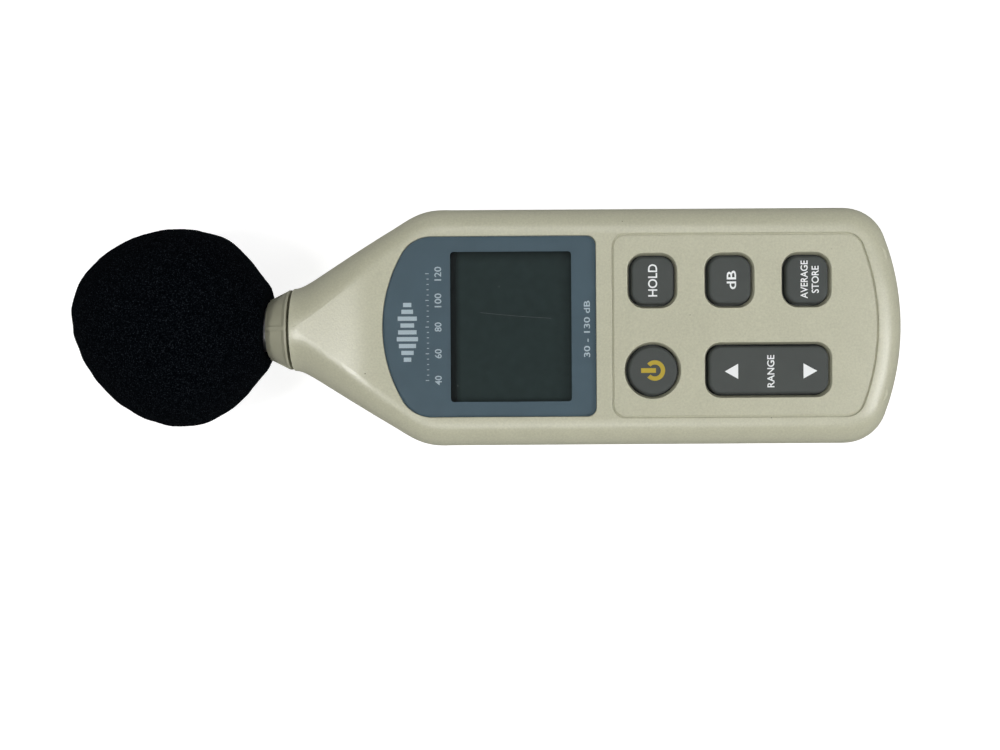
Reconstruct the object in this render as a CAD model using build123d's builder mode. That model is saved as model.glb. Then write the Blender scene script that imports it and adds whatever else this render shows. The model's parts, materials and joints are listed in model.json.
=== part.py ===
from build123d import *
import os
from math import acos, asin, atan2, cos, degrees, hypot, sin

# Hand-held sound level meter lying on its back, with a foam windscreen on its microphone.
#
# Every piece is drawn in the meter's own frame, in millimetres: X runs from the microphone
# towards the base end, Y across the meter, Z out of the display face, and the flat of the
# back is at Z 0. Each finished piece is then laid in the attitude that the meter rests in,
# on the windscreen and on the base end, which tips the microphone end up a little.

os.makedirs("parts", exist_ok=True)

# ---------------------------------------------------------------- driving dimensions
BODY_WIDTH = 70.0
BODY_THICK = 35.0
BASE_END_X = 123.2  # outermost point of the base end
BASE_ARC = 74.0  # radius of the base end, in plan
BASE_CORNER = 13.0
SHOULDER_X = -10.0  # from here back the casing has its full section
NECK_X = -58.2
NECK_RADIUS = 12.3
TAPER_X = (-56.3, -18.3)  # where the taper leaves the neck, and where it meets the straight sides
TAPER_EASE = (4.0, 5.0)  # half-lengths of the bends at its two ends
EDGE_RADIUS = 8.0
WALL = 2.2
PARTING_Z = 17.0
SEAM = 0.25  # visible line between the two shells
LIP_INSET = 1.3  # outer face of the back shell's lip, in from the outside of the casing
LIP_HEIGHT = 1.2
TAPER_STATIONS = 13
TOP_MEETS_X = -37.0  # where the top of the taper meets the display face
BOTTOM_MEETS_X = -27.0

MIC_Z = 18.5  # height of the microphone's axis over the back
MIC_RADIUS = 6.6  # a half-inch microphone
MIC_TIP_X = -100.8
CAPSULE_X = -96.2
TUBE_FRONT_X = -84.0
TUBE_BACK_X = -48.5
TUBE_WALL = 1.0
COAX_RADIUS = 0.75
WEB_BACK_X = -50.5  # the neck is solid from its front to here
WEB_BORE = 9.0

COLLAR_X = (-65.9, -59.1)
COLLAR_RADII = (9.0, 12.1)  # over its ribs, at its front and at its back
COLLAR_LIP = 0.6
COLLAR_FLARE = 1.0  # the cone turns out to meet the lip over this length
RIB_WIDTH = 1.2
RIB_HEIGHT = 0.55
SPIGOT_BACK_X = -55.5

FOAM_RADIUS = 30.0
FOAM_SQUASH = 4.5  # how far the meter's weight flattens the foam
FOAM_CENTRE_X = -94.5
FOAM_BACK_X = -66.4
FOAM_BACK_RADIUS = 14.3
FOAM_BORE_RADIUS = MIC_RADIUS + 0.3

LENS_X = (-30.2, 32.3)
LENS_WIDTH = 52.9
LENS_ARC = 43.0
LENS_POCKET = 1.3
LENS_THICK = 1.0
MASK_THICK = 0.2
ADHESIVE = 0.06  # clear, between the printed mask and the lens
WINDOW_X = 7.4  # centre of the viewing window
WINDOW_SIZE = (35.4, 43.9)

PANEL_X = (37.1, 114.3)
PANEL_WIDTH = 53.2
PANEL_ARC = 65.0
GROOVE_WIDTH = 0.55
GROOVE_DEPTH = 0.6

KEY_ROW_Y = 13.1  # the two rows of keys are this far each side of the middle
KEY_COLUMNS = (48.65, 71.15, 93.6)
SQUARE_KEY = (12.35, 13.9, 3.8)  # along X, along Y, corner radius
ROUND_KEY_RADIUS = 7.15
ROCKER_KEY = (34.9, 13.9, 3.6)
ROCKER_X = 82.35
KEY_GAP = 0.5
KEY_TOP_Z = BODY_THICK + 0.7
KEY_ROUNDING = 0.9
RIM_WIDTH = 0.65  # slope round the key openings, in plan
RIM_DEPTH = 2.0
RIM_LIP = 0.2  # rounding of the slope's outer edge, and of the groove's edges
FLANGE_THICK = 1.0
FLANGE_REACH = 1.4  # how far a key's flange stands out under the casing
STEM_INSET = 2.5
STEM_CLEARANCE = 0.6  # between a stem and the mat round it

BOARD_X = (-20.0, 109.0)
BOARD_WIDTH = 63.0
BOARD_Z = 20.0
BOARD_THICK = 1.6
BOARD_TOP = BOARD_Z + BOARD_THICK
PAD_THICK = 0.04
PILL_THICK = 0.3
PILL_RADIUS = 2.2
MAT_X = (38.0, 104.0)
MAT_Y = (-23.0, 21.5)
MAT_Z = (BOARD_TOP + 0.1, BOARD_TOP + 1.2)

GLASS_SIZE = (41.0, 50.0, 2.8)
GLASS_Z = 28.6
HOLDER_SIZE = (44.0, 53.0)
HOLDER_TOP_Z = 31.0
BACKLIGHT_THICK = 3.5
ZEBRA_X = 26.4
ZEBRA_SIZE = (1.6, 45.0)

BATTERY_RADIUS = 7.25
BATTERY_LENGTH = 50.5
NUB_LENGTH = 1.3
BATTERY_PITCH = 14.7
BATTERY_Z = 10.0  # height of the cells' axes
BAY_X = (54.7, 109.7)
BAY_HALF_WIDTH = 29.6
BAY_ROOF_Z = 17.4
BAY_WALL = 1.5
CONTACT_THICK = 0.4
SPRING_WIRE = 0.35  # radius

COVER_X = 54.3
COVER_HALF_WIDTH = 30.0
COVER_THICK = 2.4
COVER_GAP = 0.2
RAIL_Y = (29.0, 31.0)
RAIL_Z = (2.6, 3.4)

CASE_SCREWS = [(-24.0, 22.0), (-24.0, -22.0), (114.5, 20.0), (114.5, -20.0)]
CASE_SEAT_Z = 6.0
CASE_SHANK = 1.3
CASE_POST = 3.0  # radius of a front shell post; the seats below are wider
SEAT_POST = 3.6
BOARD_SCREWS = [(-17.4, 20.0), (-17.4, -20.0), (33.5, 26.0), (33.5, -26.0), (105.0, 26.5), (105.0, -26.5)]
BOARD_SHANK = 1.0
BOARD_POST = 2.4
POST_TOP_Z = BODY_THICK - 1.5

USB_X = 52.0
USB_SIZE = (7.7, 9.2, 3.9)
USB_FACE_Y = 33.2
USB_OPENING = (8.6, 4.6)  # along X and up; the plug's recess round it is wider
USB_RECESS = (11.2, 7.4)
RECESS_FLOOR_Y = 34.2
SIDE_Y = (30.0, 40.0)  # cuts through the side wall run from inside it to outside
JACK_X = 66.0
JACK_Z = BOARD_TOP + 3.0
JACK_BORE = 1.8
JACK_BARREL = 2.9
JACK_DEPTH = 11.0
JACK_FACE_Y = 34.6
TRIMMER_X = 80.0
TRIMMER_Z = BOARD_TOP + 3.2
ROTOR_RADIUS = 1.75
TRIMMER_HOLE = 1.6

TRIPOD_X = 20.0
TRIPOD_BORE = 2.55  # core radius of a quarter-inch camera thread
INSERT_RADIUS = 4.5
INSERT_LENGTH = 8.0
INSERT_Z = 0.3

# ---------------------------------------------------------------- resting attitude
# The floor touches the rounded edge of the base end and the flattened foam.
edge_x = BASE_END_X - EDGE_RADIUS
span = edge_x - FOAM_CENTRE_X
rise = MIC_Z - EDGE_RADIUS
drop = FOAM_RADIUS - FOAM_SQUASH - EDGE_RADIUS
tilt = asin(drop / hypot(span, rise)) - atan2(rise, span)
base_reach = edge_x * cos(tilt) + (BODY_THICK - EDGE_RADIUS) * sin(tilt) + EDGE_RADIUS
foam_reach = FOAM_CENTRE_X * cos(tilt) + MIC_Z * sin(tilt) - FOAM_RADIUS
lift = EDGE_RADIUS + edge_x * sin(tilt) - EDGE_RADIUS * cos(tilt)
RESTING = Location((-(base_reach + foam_reach) / 2, 0, lift), (0, degrees(tilt), 0))
FLOOR = Plane(RESTING.inverse())

MIC_AXIS = Axis((0, 0, MIC_Z), (1, 0, 0))
MIC_SECTION = Plane(origin=(0, 0, MIC_Z), x_dir=(1, 0, 0), z_dir=(0, -1, 0))


def save(piece, label):
    """Lay a finished piece in its resting attitude and write it under its own name."""
    laid = piece.part.moved(RESTING)
    laid.label = label
    export_step(laid, f"parts/{label}.step")


# ---------------------------------------------------------------- shared forms
def eased(distance, ease):
    """Zero before a corner and the distance after it, with a parabola of half-length ease between."""
    if abs(distance) >= ease:
        return max(0.0, distance)
    return (distance + ease) ** 2 / (4 * ease)


def ramp(x, start, finish, low, high, ease_in, ease_out):
    """A straight ramp from low at start to high at finish, with eased ends."""
    slope = (high - low) / (finish - start)
    return low + slope * (eased(x - start, ease_in) - eased(x - finish, ease_out))


def taper_section(x, inset):
    """Half width, top, bottom and corner radius of the casing at x, in from the outside by inset."""
    start, finish = TAPER_X
    half_width = ramp(x, start, finish, NECK_RADIUS, BODY_WIDTH / 2, *TAPER_EASE)
    corner = ramp(x, start, finish, NECK_RADIUS - 0.1, EDGE_RADIUS, *TAPER_EASE)
    top = ramp(x, start, TOP_MEETS_X, MIC_Z + NECK_RADIUS, BODY_THICK, *TAPER_EASE)
    bottom = ramp(x, start, BOTTOM_MEETS_X, MIC_Z - NECK_RADIUS, 0.0, *TAPER_EASE)
    return half_width - inset, top - inset, bottom + inset, corner - inset


def casing_form(inset, front_x=NECK_X):
    """The closed form of the casing's outside, or a copy drawn in by inset, from front_x back."""
    with BuildPart() as form:
        with BuildSketch(Plane.XY.offset(inset)) as plan:
            with Locations(((SHOULDER_X + BASE_END_X - inset) / 2, 0)):
                Rectangle(BASE_END_X - inset - SHOULDER_X, BODY_WIDTH - 2 * inset)
            with Locations((BASE_END_X - BASE_ARC, 0)):
                Circle(BASE_ARC - inset, mode=Mode.INTERSECT)
            fillet(plan.vertices().group_by(Axis.X)[-1], BASE_CORNER - inset)
        extrude(amount=BODY_THICK - 2 * inset)
        ends = form.faces().sort_by(Axis.Z)
        rims = ends[0].edges().sort_by(Axis.X)[1:] + ends[-1].edges().sort_by(Axis.X)[1:]
        fillet(rims, EDGE_RADIUS - inset)
        for station in range(TAPER_STATIONS):
            x = front_x + (SHOULDER_X - front_x) * station / (TAPER_STATIONS - 1)
            half_width, top, bottom, corner = taper_section(x, inset)
            with BuildSketch(Plane.YZ.offset(x)):
                with Locations((0, (top + bottom) / 2)):
                    RectangleRounded(2 * half_width, top - bottom, corner)
        loft()
    return form.part


def block(x_range, y_range, z_range):
    """A plain box between limits, kept out of whatever is being built."""
    size = [high - low for low, high in (x_range, y_range, z_range)]
    middle = [(high + low) / 2 for low, high in (x_range, y_range, z_range)]
    return Pos(*middle) * Box(*size, mode=Mode.PRIVATE)


def post(place, radius, z_range):
    """A plain upright cylinder between two heights, kept out of whatever is being built."""
    low, high = z_range
    return Pos(*place, (low + high) / 2) * Cylinder(radius, high - low, mode=Mode.PRIVATE)


def crosswise(x, z, radius, y_range):
    """A plain cylinder across the meter, kept out of whatever is being built."""
    low, high = y_range
    lying = Location((x, (low + high) / 2, z), (90, 0, 0))
    return lying * Cylinder(radius, high - low, mode=Mode.PRIVATE)


def lens_outline(inset):
    """The display lens in plan: an arc towards the microphone and square corners behind."""
    front, back = LENS_X
    with BuildSketch() as outline:
        with Locations(((front + back) / 2, 0)):
            Rectangle(back - front - 2 * inset, LENS_WIDTH - 2 * inset)
        with Locations((front + LENS_ARC, 0)):
            Circle(LENS_ARC - inset, mode=Mode.INTERSECT)
        fillet(outline.vertices().group_by(Axis.X)[0], 10.0)
        fillet(outline.vertices().group_by(Axis.X)[-1], 2.7)
    return outline.sketch


def panel_outline(grow):
    """The key panel in plan, grown outwards by grow, its end arc alongside the base end's."""
    front, back = PANEL_X
    with BuildSketch() as outline:
        with Locations(((front + back) / 2, 0)):
            Rectangle(back - front + 2 * grow, PANEL_WIDTH + 2 * grow)
        with Locations((back - PANEL_ARC, 0)):
            Circle(PANEL_ARC + grow, mode=Mode.INTERSECT)
        fillet(outline.vertices().group_by(Axis.X)[-1], 5.5 + grow)
        fillet(outline.vertices().group_by(Axis.X)[0], 3.6 + grow)
    return outline.sketch


def key_outline(shape, grow):
    """A key in plan about its own middle, grown outwards by grow."""
    with BuildSketch() as outline:
        if shape == "round":
            Circle(ROUND_KEY_RADIUS + grow)
        else:
            length, width, corner = ROCKER_KEY if shape == "rocker" else SQUARE_KEY
            RectangleRounded(length + 2 * grow, width + 2 * grow, corner + grow)
    return outline.sketch


# name, shape in plan, place of its middle, height of its flange and foot, contacts along X
KEYS = [
    ("power", "round", (KEY_COLUMNS[0], -KEY_ROW_Y), 31.4, 23.0, (0.0,)),
    ("hold", "square", (KEY_COLUMNS[0], KEY_ROW_Y), 31.4, 23.0, (0.0,)),
    ("weighting", "square", (KEY_COLUMNS[1], KEY_ROW_Y), 31.4, 23.0, (0.0,)),
    ("response", "square", (KEY_COLUMNS[2], KEY_ROW_Y), 31.4, 23.0, (0.0,)),
    ("range", "rocker", (ROCKER_X, -KEY_ROW_Y), 30.5, 22.6, (-11.5, 11.5)),
]

outer_form = casing_form(0.0)
cavity = casing_form(WALL, WEB_BACK_X)
lip_outer = casing_form(LIP_INSET, WEB_BACK_X)
rebate_outer = casing_form(LIP_INSET - 0.1, WEB_BACK_X)
usb_z = BOARD_TOP + USB_SIZE[2] / 2

with BuildPart() as lip:
    add(lip_outer)
    add(cavity, mode=Mode.SUBTRACT)
    add(block((WEB_BACK_X, 200), (-50, 50), (PARTING_Z - 1, PARTING_Z + LIP_HEIGHT)), mode=Mode.INTERSECT)

with BuildPart() as rebate:
    add(rebate_outer)
    add(block((WEB_BACK_X, 200), (-50, 50), (PARTING_Z, PARTING_Z + LIP_HEIGHT + 0.15)), mode=Mode.INTERSECT)

# ---------------------------------------------------------------- front shell
with BuildPart() as front_shell:
    add(outer_form)
    add(cavity, mode=Mode.SUBTRACT)
    split(bisect_by=Plane.XY.offset(PARTING_Z + SEAM), keep=Keep.TOP)
    add(rebate.part, mode=Mode.SUBTRACT)
    # posts for the case screws and the board screws
    for place in CASE_SCREWS:
        add(post(place, CASE_POST, (PARTING_Z + SEAM, POST_TOP_Z)))
    for place in BOARD_SCREWS:
        add(post(place, BOARD_POST, (BOARD_TOP, POST_TOP_Z)))
    for place in CASE_SCREWS:
        add(post(place, CASE_SHANK + 0.05, (PARTING_Z, 26.5)), mode=Mode.SUBTRACT)
    for place in BOARD_SCREWS:
        add(post(place, BOARD_SHANK + 0.05, (BOARD_TOP, 28.0)), mode=Mode.SUBTRACT)
    # pocket for the lens, and the window under it
    with BuildSketch(Plane.XY.offset(BODY_THICK - LENS_POCKET)):
        add(lens_outline(0.0))
    extrude(amount=LENS_POCKET + 1, mode=Mode.SUBTRACT)
    with BuildSketch(Plane.XY.offset(BODY_THICK - 2 * WALL)):
        with Locations((WINDOW_X, 0)):
            Rectangle(WINDOW_SIZE[0] + 2.4, WINDOW_SIZE[1] + 2.4)
    extrude(amount=3 * WALL, mode=Mode.SUBTRACT)
    # the groove that frames the key panel
    with BuildSketch(Plane.XY.offset(BODY_THICK - GROOVE_DEPTH)):
        add(panel_outline(GROOVE_WIDTH / 2))
        add(panel_outline(-GROOVE_WIDTH / 2), mode=Mode.SUBTRACT)
    extrude(amount=GROOVE_DEPTH + 1, mode=Mode.SUBTRACT)
    # openings for the keys, each with a steep slope round it
    for name, shape, place, flange_z, foot_z, contacts in KEYS:
        with BuildSketch(Plane.XY.offset(BODY_THICK - 2 * WALL)):
            with Locations(place):
                add(key_outline(shape, KEY_GAP))
        extrude(amount=3 * WALL, mode=Mode.SUBTRACT)
        for height, grow in ((BODY_THICK - RIM_DEPTH, KEY_GAP), (BODY_THICK, KEY_GAP + RIM_WIDTH)):
            with BuildSketch(Plane.XY.offset(height)):
                with Locations(place):
                    add(key_outline(shape, grow))
        loft(ruled=True, mode=Mode.SUBTRACT)
    top_wires = [
        wire
        for face in front_shell.faces().filter_by(Axis.Z).group_by(Axis.Z)[-1]
        for wire in face.wires()
    ]
    key_rims = [wire for wire in top_wires if wire.bounding_box().size.Y < 20]
    groove_rims = [wire for wire in top_wires if 70 < wire.bounding_box().size.X < 90]
    fillet([edge for wire in key_rims + groove_rims for edge in wire.edges()], RIM_LIP)
    # bore through the neck, and the ports in the side wall
    with Locations(Location((NECK_X + 4, 0, MIC_Z), (0, 90, 0))):
        Cylinder(WEB_BORE, 12, mode=Mode.SUBTRACT)
    for (length, height), y_range in ((USB_OPENING, SIDE_Y), (USB_RECESS, (RECESS_FLOOR_Y, SIDE_Y[1]))):
        x_range = (USB_X - length / 2, USB_X + length / 2)
        add(block(x_range, y_range, (usb_z - height / 2, usb_z + height / 2)), mode=Mode.SUBTRACT)
    add(crosswise(JACK_X, JACK_Z, JACK_BARREL + 0.1, SIDE_Y), mode=Mode.SUBTRACT)
    add(crosswise(TRIMMER_X, TRIMMER_Z, TRIMMER_HOLE, SIDE_Y), mode=Mode.SUBTRACT)
save(front_shell, "front_shell")

# ---------------------------------------------------------------- back shell and battery cover
bay_outer = block(
    (BAY_X[0] - BAY_WALL, BAY_X[1] + BAY_WALL),
    (-BAY_HALF_WIDTH - BAY_WALL, BAY_HALF_WIDTH + BAY_WALL),
    (1.8, BAY_ROOF_Z + BAY_WALL),
)
bay_outer = fillet(bay_outer.edges().filter_by(Axis.Z), 4.0)
bay_inner = block(BAY_X, (-BAY_HALF_WIDTH, BAY_HALF_WIDTH), (-1, BAY_ROOF_Z))

with BuildPart() as end_floor:
    add(outer_form)
    end_floor_y = (-COVER_HALF_WIDTH - 2, COVER_HALF_WIDTH + 2)
    end_floor_z = (1.0, COVER_THICK + COVER_GAP + 1.6)
    add(block((BAY_X[1], 200), end_floor_y, end_floor_z), mode=Mode.INTERSECT)

with BuildPart() as back_shell:
    add(outer_form)
    add(cavity, mode=Mode.SUBTRACT)
    split(bisect_by=Plane.XY.offset(PARTING_Z), keep=Keep.BOTTOM)
    add(lip.part)
    add(end_floor.part)
    for place in CASE_SCREWS:
        add(post(place, SEAT_POST, (1.0, PARTING_Z)))
    add(post((TRIPOD_X, 0), INSERT_RADIUS + 2, (1.0, INSERT_Z + INSERT_LENGTH + 1.5)))
    add(bay_outer)
    add(bay_inner, mode=Mode.SUBTRACT)
    # seats for the screw heads, and holes for the shanks
    for place in CASE_SCREWS:
        add(post(place, 2.5, (-1, CASE_SEAT_Z)), mode=Mode.SUBTRACT)
        add(post(place, CASE_SHANK + 0.15, (0, PARTING_Z + 1)), mode=Mode.SUBTRACT)
    add(post((TRIPOD_X, 0), INSERT_RADIUS, (-1, INSERT_Z + INSERT_LENGTH)), mode=Mode.SUBTRACT)
    # opening for the battery cover, and the grooves that its rails run in
    cover_reach = COVER_HALF_WIDTH + COVER_GAP
    cover_floor = COVER_THICK + COVER_GAP
    add(block((COVER_X - COVER_GAP, 200), (-cover_reach, cover_reach), (-1, cover_floor)), mode=Mode.SUBTRACT)
    for side in (-1, 1):
        groove_y = sorted((side * (RAIL_Y[0] - COVER_GAP), side * (RAIL_Y[1] + COVER_GAP)))
        groove_z = (RAIL_Z[0] - COVER_GAP, RAIL_Z[1] + COVER_GAP)
        add(block((COVER_X - COVER_GAP, 200), groove_y, groove_z), mode=Mode.SUBTRACT)
    with Locations(Location((NECK_X + 4, 0, MIC_Z), (0, 90, 0))):
        Cylinder(WEB_BORE, 12, mode=Mode.SUBTRACT)
save(back_shell, "back_shell")

with BuildPart() as battery_cover:
    add(block((COVER_X, 200), (-COVER_HALF_WIDTH, COVER_HALF_WIDTH), (-1, COVER_THICK)))
    for side in (-1, 1):
        add(block((COVER_X, 200), sorted((side * RAIL_Y[0], side * COVER_HALF_WIDTH)), (0, RAIL_Z[1])))
        add(block((COVER_X, 200), sorted((side * RAIL_Y[0], side * RAIL_Y[1])), RAIL_Z))
    add(outer_form, mode=Mode.INTERSECT)
    # thumb grip
    for ridge in range(5):
        x = COVER_X + 7 + 2.4 * ridge
        add(block((x - 0.5, x + 0.5), (-9, 9), (-1, 0.6)), mode=Mode.SUBTRACT)
save(battery_cover, "battery_cover")

with BuildPart() as tripod_insert:
    add(post((TRIPOD_X, 0), INSERT_RADIUS, (INSERT_Z, INSERT_Z + INSERT_LENGTH)))
    add(post((TRIPOD_X, 0), TRIPOD_BORE, (INSERT_Z, INSERT_Z + INSERT_LENGTH)), mode=Mode.SUBTRACT)
save(tripod_insert, "tripod_insert")


def screws(places, seat_z, head_radius, head_height, shank_radius, tip_z):
    """Pan-head screws pointing up, each with a cross recess under its head."""
    with BuildPart() as group:
        for place in places:
            add(post(place, head_radius, (seat_z - head_height, seat_z)))
            add(post(place, shank_radius, (seat_z, tip_z)))
            for length, width in ((1.2, 0.25), (0.25, 1.2)):
                x_range = (place[0] - length, place[0] + length)
                y_range = (place[1] - width, place[1] + width)
                recess_z = (seat_z - head_height, seat_z - head_height / 2)
                add(block(x_range, y_range, recess_z), mode=Mode.SUBTRACT)
    return group


save(screws(CASE_SCREWS, CASE_SEAT_Z, 2.3, 1.6, CASE_SHANK, 26.0), "case_screws")
save(screws(BOARD_SCREWS, BOARD_Z, 2.0, 1.0, BOARD_SHANK, 27.5), "board_screws")

# ---------------------------------------------------------------- batteries and their contacts
battery_fronts = []
for cell in range(4):
    y = (cell - 1.5) * BATTERY_PITCH
    nub_at_base = cell % 2 == 0
    if nub_at_base:
        front = BAY_X[1] - CONTACT_THICK - BATTERY_LENGTH
        can = (front, front + BATTERY_LENGTH - NUB_LENGTH)
        nub = (can[1], can[1] + NUB_LENGTH)
    else:
        front = BAY_X[0] + CONTACT_THICK
        can = (front + NUB_LENGTH, front + BATTERY_LENGTH)
        nub = (front, can[0])
    battery_fronts.append(front)
    with BuildPart() as battery:
        with BuildSketch(Plane.YZ.offset(can[0])):
            with Locations((y, BATTERY_Z)):
                Circle(BATTERY_RADIUS)
        extrude(amount=can[1] - can[0])
        fillet(battery.edges().filter_by(GeomType.CIRCLE), 0.6)
        with BuildSketch(Plane.YZ.offset(nub[0])):
            with Locations((y, BATTERY_Z)):
                Circle(2.75)
        extrude(amount=NUB_LENGTH)
    save(battery, f"battery_{cell + 1}")

with BuildPart() as battery_springs:
    for cell in range(4):
        y = (cell - 1.5) * BATTERY_PITCH
        gap_start = BAY_X[0] + CONTACT_THICK
        if cell % 2:
            gap_start = battery_fronts[cell] + BATTERY_LENGTH
        gap_end = gap_start + BAY_X[1] - BAY_X[0] - 2 * CONTACT_THICK - BATTERY_LENGTH
        for ring in range(3):
            radius = 3.6 - 0.5 * ring
            x = gap_start + SPRING_WIRE + ring * (gap_end - gap_start - 2 * SPRING_WIRE) / 2
            with BuildSketch(Plane.XY.offset(BATTERY_Z)):
                with Locations((x, y + radius)):
                    Circle(SPRING_WIRE)
            revolve(axis=Axis((0, y, BATTERY_Z), (1, 0, 0)))
        for turn in range(2):
            x = gap_start + SPRING_WIRE + (turn + 0.5) * (gap_end - gap_start - 2 * SPRING_WIRE) / 2
            side = 1 if turn else -1
            with Locations(Location((x, y + side * (3.35 - 0.5 * turn), BATTERY_Z), (0, 90, 0))):
                Cylinder(SPRING_WIRE, (gap_end - gap_start - 2 * SPRING_WIRE) / 2)
save(battery_springs, "battery_springs")

with BuildPart() as battery_plates:
    for end_x in (BAY_X[0], BAY_X[1] - CONTACT_THICK):
        for cell in range(4):
            y = (cell - 1.5) * BATTERY_PITCH
            plate_z = (BATTERY_Z - 5, BATTERY_Z + 6)
            add(block((end_x, end_x + CONTACT_THICK), (y - 5, y + 5), plate_z))
save(battery_plates, "battery_plates")

# ---------------------------------------------------------------- display
with BuildPart() as lens_mask:
    with BuildSketch(Plane.XY.offset(BODY_THICK - LENS_POCKET)):
        add(lens_outline(0.1))
        with Locations((WINDOW_X, 0)):
            RectangleRounded(*WINDOW_SIZE, 1.0, mode=Mode.SUBTRACT)
    extrude(amount=MASK_THICK)
save(lens_mask, "lens_mask")

with BuildPart() as display_lens:
    with BuildSketch(Plane.XY.offset(BODY_THICK - LENS_POCKET + MASK_THICK + ADHESIVE)):
        add(lens_outline(0.1))
    extrude(amount=LENS_THICK)
    chamfer(display_lens.faces().sort_by(Axis.Z)[-1].edges(), 0.2)
save(display_lens, "display_lens")

with BuildPart() as lcd_glass:
    with Locations((WINDOW_X, 0, GLASS_Z + GLASS_SIZE[2] / 2)):
        Box(*GLASS_SIZE)
save(lcd_glass, "lcd_glass")

with BuildPart() as lcd_holder:
    for size, z_range, mode in (
        (HOLDER_SIZE, (BOARD_TOP, HOLDER_TOP_Z), Mode.ADD),
        ((GLASS_SIZE[0] + 0.2, GLASS_SIZE[1] + 0.2), (GLASS_Z, 40), Mode.SUBTRACT),
        ((WINDOW_SIZE[0] + 0.2, WINDOW_SIZE[1] + 2.2), (GLASS_Z - BACKLIGHT_THICK, 40), Mode.SUBTRACT),
        ((WINDOW_SIZE[0] - 2, WINDOW_SIZE[1]), (0, 40), Mode.SUBTRACT),
    ):
        with Locations((WINDOW_X, 0, (z_range[0] + z_range[1]) / 2)):
            Box(*size, z_range[1] - z_range[0], mode=mode)
    with Locations((ZEBRA_X, 0, GLASS_Z)):
        Box(ZEBRA_SIZE[0] + 0.1, ZEBRA_SIZE[1] + 0.2, 20, mode=Mode.SUBTRACT)
save(lcd_holder, "lcd_holder")

with BuildPart() as backlight:
    with Locations((WINDOW_X, 0, GLASS_Z - BACKLIGHT_THICK / 2)):
        Box(WINDOW_SIZE[0] - 0.1, WINDOW_SIZE[1] + 2, BACKLIGHT_THICK)
save(backlight, "backlight")

with BuildPart() as zebra_strip:
    with Locations((ZEBRA_X, 0, (BOARD_TOP + GLASS_Z) / 2)):
        Box(*ZEBRA_SIZE, GLASS_Z - BOARD_TOP)
save(zebra_strip, "zebra_strip")

# ---------------------------------------------------------------- main board and what it carries
with BuildPart() as main_board:
    with BuildSketch(Plane.XY.offset(BOARD_Z)) as board_plan:
        with Locations(((BOARD_X[0] + BOARD_X[1]) / 2, 0)):
            Rectangle(BOARD_X[1] - BOARD_X[0], BOARD_WIDTH)
        fillet(board_plan.vertices().group_by(Axis.X)[0], 7.0)
        fillet(board_plan.vertices().group_by(Axis.X)[-1], 3.0)
        with Locations(*BOARD_SCREWS):
            Circle(BOARD_SHANK + 0.2, mode=Mode.SUBTRACT)
    extrude(amount=BOARD_THICK)
save(main_board, "main_board")

with BuildPart() as contact_pads:
    with BuildSketch(Plane.XY.offset(BOARD_TOP)):
        for name, shape, place, flange_z, foot_z, contacts in KEYS:
            for contact in contacts:
                with Locations((place[0] + contact, place[1])):
                    Circle(PILL_RADIUS + 0.5)
                    Rectangle(0.5, 10, mode=Mode.SUBTRACT)
    extrude(amount=PAD_THICK)
save(contact_pads, "contact_pads")

with BuildPart() as main_ic:
    with Locations((2, 4, BOARD_TOP + 0.8)):
        Box(10, 10, 1.4)
    chamfer(main_ic.faces().sort_by(Axis.Z)[-1].edges(), 0.3)
save(main_ic, "main_ic")

with BuildPart() as memory_chip:
    with Locations((15, -8, BOARD_TOP + 0.8)):
        Box(5.2, 4, 1.4)
    chamfer(memory_chip.faces().sort_by(Axis.Z)[-1].edges(), 0.2)
save(memory_chip, "memory_chip")

with BuildPart() as preamp_shield:
    add(block((-16, 0), (-9, 9), (BOARD_Z - 4.5, BOARD_Z)))
    add(block((-15.6, -0.4), (-8.6, 8.6), (BOARD_Z - 4.1, BOARD_Z)), mode=Mode.SUBTRACT)
save(preamp_shield, "preamp_shield")

usb_y = (USB_FACE_Y - USB_SIZE[1], USB_FACE_Y)
with BuildPart() as usb_socket:
    usb_x = (USB_X - USB_SIZE[0] / 2, USB_X + USB_SIZE[0] / 2)
    add(block(usb_x, usb_y, (BOARD_TOP, BOARD_TOP + USB_SIZE[2])))
    chamfer(usb_socket.edges().filter_by(Axis.Y).group_by(Axis.Z)[0], 0.8)
    offset(amount=-0.4, openings=usb_socket.faces().sort_by(Axis.Y)[-1])
save(usb_socket, "usb_socket")

with BuildPart() as usb_tongue:
    add(block((USB_X - 2.6, USB_X + 2.6), (usb_y[0] + 0.4, usb_y[1] - 0.8), (usb_z - 0.2, usb_z + 0.8)))
save(usb_tongue, "usb_tongue")

with BuildPart() as output_jack:
    add(block((JACK_X - 3, JACK_X + 3), (22.2, 32.5), (BOARD_TOP, BOARD_TOP + 6)))
    add(crosswise(JACK_X, JACK_Z, JACK_BARREL, (32.5, JACK_FACE_Y)))
    add(crosswise(JACK_X, JACK_Z, JACK_BORE, (JACK_FACE_Y - JACK_DEPTH, JACK_FACE_Y)), mode=Mode.SUBTRACT)
save(output_jack, "output_jack")

with BuildPart() as trimmer_body:
    add(block((TRIMMER_X - 3.5, TRIMMER_X + 3.5), (25, 31), (BOARD_TOP, BOARD_TOP + 6.4)))
    add(crosswise(TRIMMER_X, TRIMMER_Z, ROTOR_RADIUS + 0.05, (26, 31)), mode=Mode.SUBTRACT)
save(trimmer_body, "trimmer_body")

with BuildPart() as trimmer_rotor:
    add(crosswise(TRIMMER_X, TRIMMER_Z, ROTOR_RADIUS, (26.1, 31.8)))
    slot = block((TRIMMER_X - 2, TRIMMER_X + 2), (31.1, 32), (TRIMMER_Z - 0.25, TRIMMER_Z + 0.25))
    add(slot, mode=Mode.SUBTRACT)
save(trimmer_rotor, "trimmer_rotor")

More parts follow.
